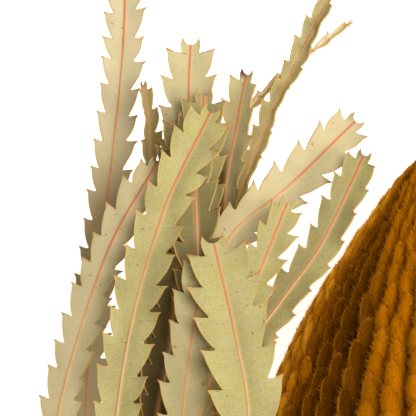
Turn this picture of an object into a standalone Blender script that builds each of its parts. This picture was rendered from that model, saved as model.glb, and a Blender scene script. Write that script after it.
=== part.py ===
"""A picked banksia head lying on its side, on its woody stem, with its saw-toothed leaves.

Lengths are in millimetres and become metres where a mesh is made. +Z is up, +Y runs from the
stem to the tip of the head, and the origin is on the flat spot that the head rests on.
"""

from math import cos, exp, hypot, pi, radians, sin

import bmesh
import bpy
from mathutils import Matrix, Vector

MM = 0.001
UP = Vector((0.0, 0.0, 1.0))

# Flower head: a blunt cone of florets, its tip sunk a little towards the ground
HEAD_DROOP = radians(7.0)
BELLY_STATION = 6.0
BELLY_HEIGHT = 36.6
HEAD_OUTLINE = [
    (-24.0, 7.0), (-23.0, 20.0), (-19.0, 31.0), (-12.0, 38.0), (-3.0, 41.0), (9.0, 40.0),
    (27.0, 33.8), (45.0, 24.2), (62.0, 12.4), (70.0, 6.0), (73.5, 1.5),
]
FLORET_COLUMNS = 44
FLORET_PITCH = 5.9
FLORET_DEPTH = 3.0
FLORET_LEAN = 0.3
POLE_RISE = 1.0

# Woody stem and the leafy side twig that forks from it
STEM_TOP_GAP = 0.35
STEM_SIDES = 12
STEM_STEPS = 14
TWIG_STEPS = 18
MAIN_STEM = [(0.0, -24.0, 40.3), (1.0, -48.0, 43.2), (4.0, -82.0, 48.0), (3.0, -124.0, 52.0)]
MAIN_RADII = (6.4, 7.6)
SIDE_TWIG = [
    (4.0, -84.0, 48.0), (-17.0, -73.0, 45.0), (-38.0, -54.0, 39.0), (-50.0, -32.0, 35.0),
    (-53.5, -10.0, 34.5), (-53.0, 6.0, 36.0),
]
SIDE_RADII = (5.6, 3.4)

# Leaf blades
LEAF_THICKNESS = 0.75
LEAF_GAP = 0.35
PETIOLE_LENGTH = 9.0
PETIOLE_HALF_WIDTH = 1.5
PITCH_BASE = 3.6
PITCH_PER_WIDTH = 0.27
DEPTH_BASE = 0.9
DEPTH_PER_WIDTH = 0.125
TIP_DEEPENING = 0.45
TIP_TEETH_PER_WIDTH = 0.6
SMALL_END_TEETH = (0.95, 0.85)
TOOTH_REACH = 0.96
TIP_TAPER = 0.28
BROAD_LEAF = 12.0
TAPER_PER_WIDTH = 0.055
SHOULDER_PER_WIDTH = 0.17
HORN_REACH = 0.26
HORN_SPREAD = 0.28
RIB_STOP = 0.13
HORN_NOTCH = 0.05
FOLD_ROUNDING = 1.2
OUTWARD_RUN = 2.5
FORWARD_RUN = 3.0

HEAD_GOLD = (0.46, 0.20, 0.012, 1.0)
STEM_BROWN = (0.13, 0.075, 0.035, 1.0)
LEAF_KHAKI = (0.42, 0.36, 0.15, 1.0)


def curve_point(points, place):
    """A point on the smooth curve through the points; place runs from 0 to 1."""
    count = len(points) - 1
    scaled = min(max(place, 0.0), 1.0) * count
    index = min(int(scaled), count - 1)
    share = scaled - index
    here = Vector(points[index])
    after = Vector(points[index + 1])
    before = Vector(points[index - 1]) if index else 2 * here - after
    later = Vector(points[index + 2]) if index + 2 <= count else 2 * after - here
    return 0.5 * (
        2 * here
        + (after - before) * share
        + (2 * before - 5 * here + 4 * after - later) * share**2
        + (3 * here - before - 3 * after + later) * share**3
    )


def even_stations(points, spacing):
    """Points spaced evenly along the smooth curve, and its whole length."""
    fine = [curve_point(points, step / 400) for step in range(401)]
    lengths = [0.0]
    for first, second in zip(fine, fine[1:]):
        lengths.append(lengths[-1] + (second - first).length)
    total = lengths[-1]
    count = max(2, round(total / spacing))
    stations = []
    index = 0
    for step in range(count + 1):
        wanted = total * step / count
        while index < len(lengths) - 2 and lengths[index + 1] < wanted:
            index += 1
        share = (wanted - lengths[index]) / (lengths[index + 1] - lengths[index])
        stations.append(fine[index].lerp(fine[index + 1], share))
    return stations, total


def add_object(name, vertices, faces, material, smooth=False):
    """Makes one object from points in millimetres."""
    mesh = bpy.data.meshes.new(name)
    mesh.from_pydata([Vector(point) * MM for point in vertices], [], faces)
    if smooth:
        mesh.shade_smooth()
    mesh.materials.append(material)
    item = bpy.data.objects.new(name, mesh)
    bpy.context.scene.collection.objects.link(item)
    return item


def plain_material(name, colour, roughness):
    material = bpy.data.materials.new(name)
    material.use_nodes = True
    shader = material.node_tree.nodes["Principled BSDF"]
    shader.inputs["Base Color"].default_value = colour
    shader.inputs["Roughness"].default_value = roughness
    shader.inputs["Metallic"].default_value = 0.0
    return material


def head_axis(station):
    """The point on the head's axis at a distance along it."""
    along = station - BELLY_STATION
    return Vector((
        0.0,
        BELLY_STATION + along * cos(HEAD_DROOP),
        BELLY_HEIGHT - along * sin(HEAD_DROOP),
    ))


def head_point(angle, station, radius):
    """A point on the head, pressed flat where it would reach below the ground."""
    sideways = Vector((1.0, 0.0, 0.0))
    lift = Vector((0.0, sin(HEAD_DROOP), cos(HEAD_DROOP)))
    point = head_axis(station) + radius * (sin(angle) * sideways + cos(angle) * lift)
    point.z = max(point.z, 0.0)
    return point


def build_flower_head(material):
    """Staggered florets: a low point at each meeting of four, and one raised tip in each."""
    outline = [(station, radius, 0.0) for station, radius in HEAD_OUTLINE]
    rings, _ = even_stations(outline, FLORET_PITCH / 2)
    step = 2 * pi / FLORET_COLUMNS
    half = FLORET_COLUMNS // 2
    vertices = []
    low = {}
    tips = {}

    def add(angle, station, radius):
        vertices.append(head_point(angle, station, radius))
        return len(vertices) - 1

    last = len(rings) - 1
    for ring, (station, radius, _) in enumerate(rings):
        depth = FLORET_DEPTH * min(1.0, radius / 12.0)
        for item in range(half):
            column = 2 * item + ring % 2
            low[ring, column] = add(column * step, station, radius - depth)
        if 0 < ring < last:
            ahead_station, ahead_radius, _ = rings[ring + 1]
            tip_station = station + 2 * FLORET_LEAN * (ahead_station - station)
            tip_radius = radius + 2 * FLORET_LEAN * (ahead_radius - radius)
            for item in range(half):
                column = 2 * item + (ring + 1) % 2
                tips[ring, column] = add(column * step, tip_station, tip_radius)

    faces = []
    around = FLORET_COLUMNS
    for (ring, column), tip in tips.items():
        below = low[ring - 1, column]
        above = low[ring + 1, column]
        left = low[ring, (column - 1) % around]
        right = low[ring, (column + 1) % around]
        faces += [(below, left, tip), (left, above, tip), (above, right, tip), (right, below, tip)]
    base_pole = add(0.0, rings[0][0] + POLE_RISE, 0.0)
    tip_pole = add(0.0, rings[last][0] + POLE_RISE, 0.0)
    for item in range(half):
        column = 2 * item
        across = (column + 2) % around
        faces.append((low[0, column], low[0, across], base_pole))
        faces.append((low[0, across], low[0, column], low[1, column + 1]))
        column += last % 2
        across = (column + 2) % around
        inner = (column + 1) % around
        faces.append((low[last, across], low[last, column], tip_pole))
        faces.append((low[last, column], low[last, across], low[last - 1, inner]))
    item = add_object("flower_head", vertices, faces, material)
    tidy = bmesh.new()
    tidy.from_mesh(item.data)
    bmesh.ops.recalc_face_normals(tidy, faces=tidy.faces)
    tidy.to_mesh(item.data)
    tidy.free()
    return item


def twig_frame(points, radii, place):
    """Centre, direction, right, up and radius of a stem at a place from 0 to 1."""
    centre = curve_point(points, place)
    along = (curve_point(points, place + 0.01) - curve_point(points, place - 0.01)).normalized()
    lift = (UP - along * UP.dot(along)).normalized()
    side = along.cross(lift)
    if side.x < 0.0:
        side = -side
    radius = radii[0] + (radii[1] - radii[0]) * place
    return centre, along, side, lift, radius


def build_tube(name, points, radii, steps, material):
    """A closed round stem with flat cut ends."""
    vertices = []
    faces = []
    for step in range(steps + 1):
        centre, _, side, lift, radius = twig_frame(points, radii, step / steps)
        for turn in range(STEM_SIDES):
            angle = 2 * pi * turn / STEM_SIDES
            vertices.append(centre + radius * (cos(angle) * side + sin(angle) * lift))
    for step in range(steps):
        for turn in range(STEM_SIDES):
            here = step * STEM_SIDES + turn
            beside = step * STEM_SIDES + (turn + 1) % STEM_SIDES
            faces.append((here, beside, beside + STEM_SIDES, here + STEM_SIDES))
    faces.append(tuple(reversed(range(STEM_SIDES))))
    faces.append(tuple(range(steps * STEM_SIDES, (steps + 1) * STEM_SIDES)))
    return add_object(name, vertices, faces, material, smooth=True)


def build_stem(material):
    """The main stem with the side twig joined to it."""
    stem = build_tube("stem", main_route(), MAIN_RADII, STEM_STEPS, material)
    twig = build_tube("side_twig_guide", SIDE_TWIG, SIDE_RADII, TWIG_STEPS, material)
    join = stem.modifiers.new("side twig", "BOOLEAN")
    join.operation = "UNION"
    join.solver = "EXACT"
    join.object = twig
    twig.hide_render = True
    twig.display_type = "WIRE"
    return stem


def main_route():
    """The main stem starts just clear of the head, in line with its axis."""
    top = head_axis(HEAD_OUTLINE[0][0] - STEM_TOP_GAP)
    return [tuple(top)] + MAIN_STEM[1:]


class LeafSurface:
    """A folded strap along a smooth route; a place on it is a length along and a width across."""

    def __init__(self, route, roll, fold):
        self.fold = radians(fold)
        self.centres, self.length = even_stations(route, 1.0)
        count = len(self.centres)
        self.tangents = []
        for index in range(count):
            ahead = self.centres[min(index + 1, count - 1)]
            behind = self.centres[max(index - 1, 0)]
            self.tangents.append((ahead - behind).normalized())
        facing = UP - self.tangents[-1] * UP.dot(self.tangents[-1])
        facing = Matrix.Rotation(radians(roll), 3, self.tangents[-1]) @ facing.normalized()
        self.facings = [facing] * count
        for index in range(count - 2, -1, -1):
            tangent = self.tangents[index]
            facing = self.facings[index + 1]
            self.facings[index] = (facing - tangent * facing.dot(tangent)).normalized()

    def frame(self, along):
        place = min(max(along / self.length, 0.0), 1.0) * (len(self.centres) - 1)
        index = min(int(place), len(self.centres) - 2)
        share = place - index
        centre = self.centres[index].lerp(self.centres[index + 1], share)
        tangent = self.tangents[index].lerp(self.tangents[index + 1], share).normalized()
        facing = self.facings[index].lerp(self.facings[index + 1], share).normalized()
        return centre, tangent, facing

    def point(self, along, across, lift):
        """A place on the blade, lifted along its own normal."""
        centre, tangent, facing = self.frame(along)
        side = tangent.cross(facing).normalized()
        rise = sin(self.fold) * (hypot(across, FOLD_ROUNDING) - FOLD_ROUNDING)
        slope = sin(self.fold) * across / hypot(across, FOLD_ROUNDING)
        normal = (facing - slope * side).normalized()
        return centre + side * across * cos(self.fold) + facing * rise + normal * lift


def tooth_places(blade, width):
    """Where the teeth begin along the blade, and its end; the last few are shorter."""
    pitch = PITCH_BASE + PITCH_PER_WIDTH * width
    whole = max(2, round(blade / pitch - sum(SMALL_END_TEETH)))
    shares = [1.0] * whole + list(SMALL_END_TEETH)
    places = [0.0]
    for share in shares:
        places.append(places[-1] + blade * share / sum(shares))
    return places


def tooth_depth(along, blade, width):
    """How deep the notches are: deeper near the tip."""
    near_tip = exp(-(blade - along) / (TIP_TEETH_PER_WIDTH * width))
    return (DEPTH_BASE + DEPTH_PER_WIDTH * width) * (1.0 + TIP_DEEPENING * near_tip)


def half_width(along, blade, width):
    """Half the blade's width at a length along it: a long wedge, then a strap with round shoulders."""
    grown = min(1.0, along / blade / 0.5)
    grown = grown * grown * (3 - 2 * grown)
    taper = TIP_TAPER + TAPER_PER_WIDTH * max(0.0, BROAD_LEAF - width)
    shoulder = 1.0 - taper * exp(-(blade - along) / (SHOULDER_PER_WIDTH * width))
    return (0.34 + 0.66 * grown) * width / 2 * shoulder


def build_leaf(name, route, width, roll, fold, material):
    """One toothed leaf: long teeth cut short towards the tip, where two horns flank the rib."""
    surface = LeafSurface(route, roll, fold)
    blade = surface.length - PETIOLE_LENGTH - HORN_REACH * width
    starts = tooth_places(blade, width)
    teeth = len(starts) - 1
    places = []
    flat_faces = []

    def add(along, across):
        places.append((along, across))
        return len(places) - 1

    middles = [add(0.0, 0.0)]
    edges = {side: [add(0.0, side * PETIOLE_HALF_WIDTH)] for side in (-1, 1)}
    for tooth in range(teeth):
        along = starts[tooth]
        pitch = starts[tooth + 1] - along
        peak = along + TOOTH_REACH * pitch
        depth = tooth_depth(along, blade, width) * min(1.0, pitch / starts[1])
        middles.append(add(PETIOLE_LENGTH + along, 0.0))
        for side in (-1, 1):
            reach = half_width(peak, blade, width)
            notch = max(PETIOLE_HALF_WIDTH, reach - depth) if tooth else PETIOLE_HALF_WIDTH
            edges[side].append(add(PETIOLE_LENGTH + along, side * notch))
            edges[side].append(add(PETIOLE_LENGTH + peak, side * reach))
    middles.append(add(surface.length - RIB_STOP * width, 0.0))
    spread = HORN_SPREAD * width / 2
    for side in (-1, 1):
        edges[side].append(add(PETIOLE_LENGTH + blade - HORN_NOTCH * width, side * spread))
        edges[side].append(add(surface.length, side * spread))

    for side in (-1, 1):
        edge = edges[side]
        triangles = [(middles[0], edge[0], edge[1]), (middles[0], edge[1], middles[1])]
        for tooth in range(teeth):
            here = middles[tooth + 1]
            ahead = middles[tooth + 2]
            notch, peak, beyond = edge[1 + 2 * tooth:4 + 2 * tooth]
            if tooth < teeth - 1:
                triangles += [(here, notch, peak), (here, peak, ahead), (ahead, peak, beyond)]
            else:
                triangles += [(here, notch, peak), (here, peak, beyond), (here, beyond, ahead)]
                triangles.append((ahead, beyond, edge[-1]))
        for triangle in triangles:
            flat_faces.append(triangle if side > 0 else triangle[::-1])

    rim = edges[1] + [middles[-1]] + edges[-1][::-1] + [middles[0]]
    count = len(places)
    half = LEAF_THICKNESS / 2
    vertices = [surface.point(along, across, half) for along, across in places]
    vertices += [surface.point(along, across, -half) for along, across in places]
    faces = list(flat_faces)
    faces += [tuple(count + corner for corner in face[::-1]) for face in flat_faces]
    for here, ahead in zip(rim, rim[1:] + rim[:1]):
        faces.append((ahead, here, count + here))
        faces.append((ahead, count + here, count + ahead))
    return add_object(name, vertices, faces, material)


def leaf_route(twig, place, turn, points):
    """From the surface of its twig, outwards and forwards, then through the points."""
    route, radii = TWIGS[twig]
    centre, along, side, lift, radius = twig_frame(route, radii, place)
    angle = radians(turn)
    outward = cos(angle) * side + sin(angle) * lift
    base = centre + outward * (radius + LEAF_GAP)
    elbow = base + outward * OUTWARD_RUN
    return [tuple(base), tuple(elbow), tuple(elbow + outward + along * FORWARD_RUN)] + points


TWIGS = {"main": (main_route(), MAIN_RADII), "side": (SIDE_TWIG, SIDE_RADII)}

# Each leaf: twig, place on it, turn round it, blade width, roll, fold, and its route in space
LEAVES = {
    "leaf_front_right": ("side", 0.72, 62, 16.0, 4, 10, [
        (-43.0, -6.0, 64.0), (-41.5, 16.0, 70.0), (-44.0, 32.0, 70.0), (-49.4, 55.2, 66.0)]),
    "leaf_front_middle": ("side", 0.80, 112, 11.5, 0, 13, [
        (-56.5, 5.0, 55.0), (-55.0, 23.5, 61.0), (-52.0, 43.0, 62.0), (-50.5, 50.5, 61.0)]),
    "leaf_front_left": ("side", 0.60, 128, 11.4, -8, 13, [
        (-67.0, -12.0, 53.0), (-71.0, 4.0, 58.0), (-67.0, 34.5, 60.0), (-59.5, 61.0, 57.0),
        (-49.0, 83.0, 52.0)]),
    "leaf_left": ("side", 0.48, 150, 9.4, -6, 13, [
        (-72.0, -30.0, 42.0), (-84.0, -4.0, 46.0), (-83.0, 16.0, 46.0), (-73.0, 49.5, 47.5),
        (-61.0, 71.5, 47.0)]),
    "leaf_far_left": ("side", 0.54, 205, 9.5, 0, 13, [
        (-70.0, -26.0, 22.0), (-77.0, 0.0, 18.0), (-76.5, 33.5, 18.0), (-72.0, 70.0, 16.0),
        (-69.5, 96.0, 9.0), (-69.0, 118.0, 0.4)]),
    "leaf_behind_left": ("side", 0.70, 168, 12.0, 6, 13, [
        (-66.5, -2.0, 32.5), (-65.0, 15.5, 33.0), (-58.5, 36.0, 34.5), (-56.0, 49.5, 35.0)]),
    "leaf_dark_left": ("side", 0.84, 160, 12.0, 0, 13, [
        (-61.5, 14.0, 41.5), (-59.0, 27.5, 43.5), (-56.0, 54.0, 47.0)]),
    "leaf_dark_middle": ("side", 0.90, 120, 11.0, -6, 13, [
        (-54.0, 24.0, 50.0), (-52.5, 45.0, 53.0), (-53.0, 66.0, 51.0), (-53.5, 74.5, 49.0)]),
    "leaf_low_middle": ("side", 0.93, 165, 12.4, 2, 13, [
        (-58.0, 29.5, 39.5), (-57.5, 51.5, 41.5), (-54.5, 82.0, 43.0)]),
    "leaf_inner": ("side", 0.965, 340, 11.4, 0, 13, [
        (-53.0, 29.5, 36.5), (-52.5, 51.5, 38.5), (-51.0, 87.0, 42.0)]),
    "leaf_broad": ("side", 0.95, 255, 12.6, -3, 10, [
        (-53.0, 29.0, 30.5), (-54.5, 51.5, 32.0), (-54.5, 82.0, 36.0), (-54.0, 98.6, 38.0)]),
    "leaf_curled": ("side", 0.78, 222, 7.5, 58, 20, [
        (-63.5, 14.0, 25.0), (-63.5, 40.5, 27.0), (-62.5, 62.5, 30.0), (-64.5, 89.0, 33.0)]),
    "leaf_brown_tip": ("side", 0.92, 285, 9.8, -30, 24, [
        (-49.5, 30.0, 25.5), (-48.0, 49.0, 28.0), (-44.5, 75.5, 33.0), (-41.3, 91.6, 36.0)]),
    "leaf_long_right": ("side", 0.86, 262, 7.2, -15, 52, [
        (-50.5, 24.0, 19.5), (-48.0, 49.0, 20.5), (-38.6, 76.0, 24.0), (-30.6, 93.6, 26.0),
        (-22.7, 108.6, 27.0)]),
    "leaf_thin_right": ("side", 0.74, 290, 5.2, -30, 75, [
        (-48.0, 10.0, 12.0), (-48.5, 49.0, 10.0), (-46.0, 72.0, 10.0), (-38.0, 86.0, 11.0),
        (-17.5, 103.0, 13.0)]),
    "leaf_wide_right": ("side", 0.88, 20, 11.2, 4, 13, [
        (-48.5, 16.0, 41.5), (-50.0, 36.0, 43.0), (-46.0, 53.5, 43.5), (-31.5, 66.5, 43.0),
        (-16.6, 81.0, 42.0)]),
    "leaf_short_right": ("side", 0.885, 85, 9.5, 10, 13, [
        (-52.0, 15.0, 53.5), (-48.0, 28.0, 57.0), (-39.0, 47.0, 57.5), (-32.5, 63.0, 55.0)]),
    "leaf_edge_right": ("side", 0.80, 40, 9.0, -14, 13, [
        (-46.0, 14.0, 48.5), (-43.0, 27.5, 51.5), (-34.5, 40.0, 51.5), (-25.5, 52.5, 49.5),
        (-15.5, 73.5, 48.5)]),
    "leaf_beside_head": ("main", 0.14, 2, 14.0, 0, 13, [
        (30.0, -31.0, 44.0), (51.0, -12.0, 46.0), (55.0, 20.0, 44.0), (50.0, 52.0, 38.0),
        (42.0, 84.0, 31.0)]),
    "leaf_over_head": ("main", 0.10, 78, 13.0, 14, 13, [
        (15.0, -22.0, 72.0), (27.0, 4.0, 86.0), (34.0, 34.0, 84.0), (37.0, 66.0, 72.0)]),
    "leaf_ground_right": ("main", 0.24, -22, 13.0, 0, 13, [
        (36.0, -36.0, 27.0), (66.0, -14.0, 14.0), (82.0, 22.0, 5.0), (88.0, 60.0, 0.5)]),
    "leaf_spread_right": ("main", 0.36, 24, 13.0, 0, 13, [
        (34.0, -46.0, 60.0), (68.0, -34.0, 62.0), (100.0, -12.0, 52.0), (120.0, 16.0, 38.0)]),
    "leaf_low_right": ("main", 0.58, -6, 12.0, 0, 13, [
        (34.0, -74.0, 50.0), (64.0, -78.0, 42.0), (96.0, -74.0, 26.0), (122.0, -62.0, 10.0)]),
    "leaf_under_stem": ("main", 0.32, -80, 11.0, 0, 13, [
        (9.0, -66.0, 24.0), (26.0, -90.0, 13.0), (46.0, -112.0, 0.4)]),
    "leaf_back_left": ("main", 0.84, 172, 12.0, 0, 13, [
        (-24.0, -112.0, 50.0), (-52.0, -116.0, 42.0), (-80.0, -108.0, 28.0), (-100.0, -92.0, 14.0)]),
    "leaf_back_low": ("main", 0.72, 215, 11.0, 0, 13, [
        (-22.0, -104.0, 34.0), (-44.0, -112.0, 18.0), (-70.0, -106.0, 0.4)]),
}


def main():
    for item in list(bpy.data.objects):
        bpy.data.objects.remove(item)
    gold = plain_material("golden_florets", HEAD_GOLD, 0.85)
    wood = plain_material("stem_bark", STEM_BROWN, 0.8)
    khaki = plain_material("dry_leaf", LEAF_KHAKI, 0.6)
    build_flower_head(gold)
    build_stem(wood)
    for name, (twig, place, turn, width, roll, fold, points) in LEAVES.items():
        build_leaf(name, leaf_route(twig, place, turn, points), width, roll, fold, khaki)


main()
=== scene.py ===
"""The looks of a picked banksia head: florets, leaves and stem in their finest form, on a pale floor.

Lengths are in millimetres and become metres where a mesh is made. +Z is up, +Y runs from the
stem to the tip of the head, and the origin is on the flat spot that the head rests on.
"""

from math import cos, exp, hypot, pi, radians, sin
from random import Random

import bpy
import numpy as np
from mathutils import Matrix, Vector, noise


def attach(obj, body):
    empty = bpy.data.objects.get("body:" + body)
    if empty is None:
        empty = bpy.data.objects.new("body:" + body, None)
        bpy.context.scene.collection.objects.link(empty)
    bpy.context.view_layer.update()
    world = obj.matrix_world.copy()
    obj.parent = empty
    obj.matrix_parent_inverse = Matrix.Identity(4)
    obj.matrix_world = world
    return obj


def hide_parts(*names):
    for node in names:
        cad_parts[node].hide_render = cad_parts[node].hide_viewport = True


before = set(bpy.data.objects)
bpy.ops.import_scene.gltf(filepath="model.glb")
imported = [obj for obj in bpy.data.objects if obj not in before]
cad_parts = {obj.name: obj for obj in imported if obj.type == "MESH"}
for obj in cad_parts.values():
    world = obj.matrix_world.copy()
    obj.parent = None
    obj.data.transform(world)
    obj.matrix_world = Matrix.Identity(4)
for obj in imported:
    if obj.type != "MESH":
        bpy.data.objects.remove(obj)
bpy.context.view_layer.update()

MM = 0.001
UP = Vector((0.0, 0.0, 1.0))
BODY = "root"
CURVE_STEPS = 400

# Flower head: a blunt cone of florets, drooping about the middle of its widest ring
HEAD_DROOP = radians(7.0)
BELLY_STATION = 6.0
BELLY_HEIGHT = 36.6
GROUND_CLEARANCE = 0.02
# The head's outline: a distance along its axis, and its radius there
HEAD_OUTLINE = [
    (-24.0, 7.0), (-23.0, 20.0), (-19.0, 31.0), (-12.0, 38.0), (-3.0, 41.0), (9.0, 40.0),
    (27.0, 33.8), (45.0, 24.2), (62.0, 12.4), (70.0, 6.0), (73.5, 1.5),
]

# Florets, packed in columns; they shrink where the head is narrower than the shrink radius
FLORET_SEED = 11
FLORET_COLUMNS = 44
FLORET_PITCH = 5.9
FLORET_SIDES = 8
FLORET_ROUNDNESS = 3.0
SHRINK_RADIUS = 14.0
SMALLEST_SHARE = 0.25
# Sections up a floret: along it in floret lengths, out in mm, half width in column widths
FLORET_START = (-1.3, -4.3, 0.2)
FLORET_STEPS = [
    (-0.85, -3.0, 0.35), (-0.35, -2.15, 0.41), (0.05, -1.5, 0.41), (0.36, -1.05, 0.35),
    (0.57, -0.8, 0.24), (0.72, -0.75, 0.09),
]
# What chance does to a floret: its length, how far it leans and stands out, and how far its band of
# painted light and shade shifts
LENGTH_CHANCE = (0.94, 1.1)
LEAN_CHANCE = 0.15
LEAN_PIVOT = 0.9
PROUD_CHANCE = 0.3
LIGHT_BAND_CHANCE = 0.05

# The woolly core lies this deep under the outline, and at most this share of the radius
CORE_DEPTH = 4.4
CORE_SHARE = 0.6
CORE_SEGMENTS = 48
CORE_RINGS = 40

# Painted light round the head: the florets are plain on top, darken with painted shade between the
# first pair of angles, and pass from that shade to painted rim light between the second
SHADE_FROM = (radians(15.0), radians(31.0))
SHADE_TO = (radians(51.0), radians(71.0))
# The plain band on top grows this much wider towards the point of the head, below this radius
LIT_SPREAD = radians(26.0)
SPREAD_RADIUS = 44.0

# Velvet hairs: their length by chance, how far along and round a floret they root, how deep
HAIRS_PER_FLORET = 100
HAIR_LENGTH = 1.85
HAIR_LENGTHS = (0.45, 1.0)
HAIR_WIDTH = 0.15
HAIR_PLACES = (-0.45, 0.72)
HAIR_TURN = 1.8
HAIR_ROOT = 0.15
HAIR_ROOT_SIDE = 0.92
# How hairs splay sideways, stray by chance, stand out and point forwards, as shares of a length
HAIR_SPLAY = (0.4, 1.1)
HAIR_STRAY = 0.3
HAIR_OUT = 0.45
HAIR_FORWARD = 0.6
# Their tones by chance; painted shade on the unlit side of a floret and at a hair's root; and how much
# shorter and worn the hairs are on the sides with painted rim light
HAIR_TONES = (0.3, 1.0)
UNLIT_TONE = 0.08
ROOT_TONE = 0.6
WORN_HAIRS = 0.5
# On the shoulders with painted shade, the hairs' painted light peaks this far round a floret, on its
# downhill side
RIM_TURN = 1.3

# Woody stem and the leafy side twig that forks from it
STEM_TOP_GAP = 0.35
MAIN_STEM = [(1.0, -48.0, 43.2), (4.0, -82.0, 48.0), (3.0, -124.0, 52.0)]
MAIN_RADII = (6.4, 7.6)
SIDE_TWIG = [
    (4.0, -84.0, 48.0), (-17.0, -73.0, 45.0), (-38.0, -54.0, 39.0), (-50.0, -32.0, 35.0),
    (-53.5, -10.0, 34.5), (-53.0, 6.0, 36.0),
]
SIDE_RADII = (5.6, 3.4)
STEM_STEPS = 40
STEM_GRAIN = 0.7
# Wrinkles run along the stem, knots swell it; their heights, and how fine they are
STEM_WRINKLES = 0.32
WRINKLE_ACROSS = 0.9
WRINKLE_ALONG = 0.16
STEM_KNOTS = 0.4
KNOT_SCALE = 0.18
STEM_SHRINK = 0.05
LEAF_CUSHION = 1.9

# Leaf stalks, and how they leave the twig
LEAF_GAP = 0.35
STATION_SPACING = 1.0
OUTWARD_RUN = 2.5
FORWARD_RUN = 3.0
PETIOLE_LENGTH = 9.0
PETIOLE_HALF_WIDTH = 1.5
PETIOLE_ROWS = 8

# Leaf blades: the spacing and depth of the teeth, and the taper to the horned tip
PITCH_BASE = 3.6
PITCH_PER_WIDTH = 0.27
DEPTH_BASE = 0.9
DEPTH_PER_WIDTH = 0.125
TIP_DEEPENING = 0.45
TIP_TEETH_PER_WIDTH = 0.6
SMALL_END_TEETH = (0.95, 0.85)
TIP_TAPER = 0.28
BROAD_LEAF = 12.0
TAPER_PER_WIDTH = 0.055
SHOULDER_PER_WIDTH = 0.17
HORN_REACH = 0.26
HORN_SPREAD = 0.28
RIB_STOP = 0.13

# Leaf teeth: each climbs to its peak with a hollow edge, hooks forwards and sways by chance
TOOTH_PEAK = 0.85
TOOTH_SIZES = (0.84, 1.1)
TOOTH_HOLLOW = (0.42, 0.72)
TOOTH_SWAY = 0.15
TOOTH_BEND = 2.2
LEAD_CLIMB = 4
REACH_FALL = 2.2
LEAD_FALL = 2.6
TOOTH_HOOK = 0.2
TIP_HOOK = 0.12
SINUS_ROUNDING = 0.3
SPINE_LENGTH = 0.45
SPINE_FROM = 0.84
TOOTH_ROWS = (0.0, 0.05, 0.12, 0.26, 0.4, 0.54, 0.67, 0.77, TOOTH_PEAK, 0.89, 0.945)
# The horned tip: share of the way to it, width, lead, and whether it is a spine
HORN_BEND = 3.0
HORN_ROWS = [
    (0.3, 1.5, -0.17, 0.0), (0.45, 1.12, -0.18, 0.0), (0.6, 1.12, -0.13, 0.0), (0.75, 1.25, -0.04, 0.0),
    (0.9, 1.22, 0.05, 0.0), (1.0, 1.0, 0.13, 1.0),
]
HALF_COLUMNS = (0.0, 0.035, 0.08, 0.17, 0.34, 0.54, 0.72, 0.86, 0.945, 1.0)
COLUMNS = [-share for share in HALF_COLUMNS[:0:-1]] + list(HALF_COLUMNS)

# Leaf sections, and the waves in them: slow, from tooth to tooth, and by chance
RIB_THICKNESS = 1.0
RIB_THINNING = 0.45
RIB_HALF_WIDTH = 0.36
BLADE_THICKNESS = 0.36
FOLD_ROUNDING = 1.2
RIPPLE = 2.6
RIPPLE_WAVE = (0.34, 0.3)
FLUTTER = 1.2
WOBBLE = 0.7
WOBBLE_SCALE = (0.09, 0.22)
CALM_LENGTH = 25.0
SHARP_ANGLE = radians(40.0)

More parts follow.
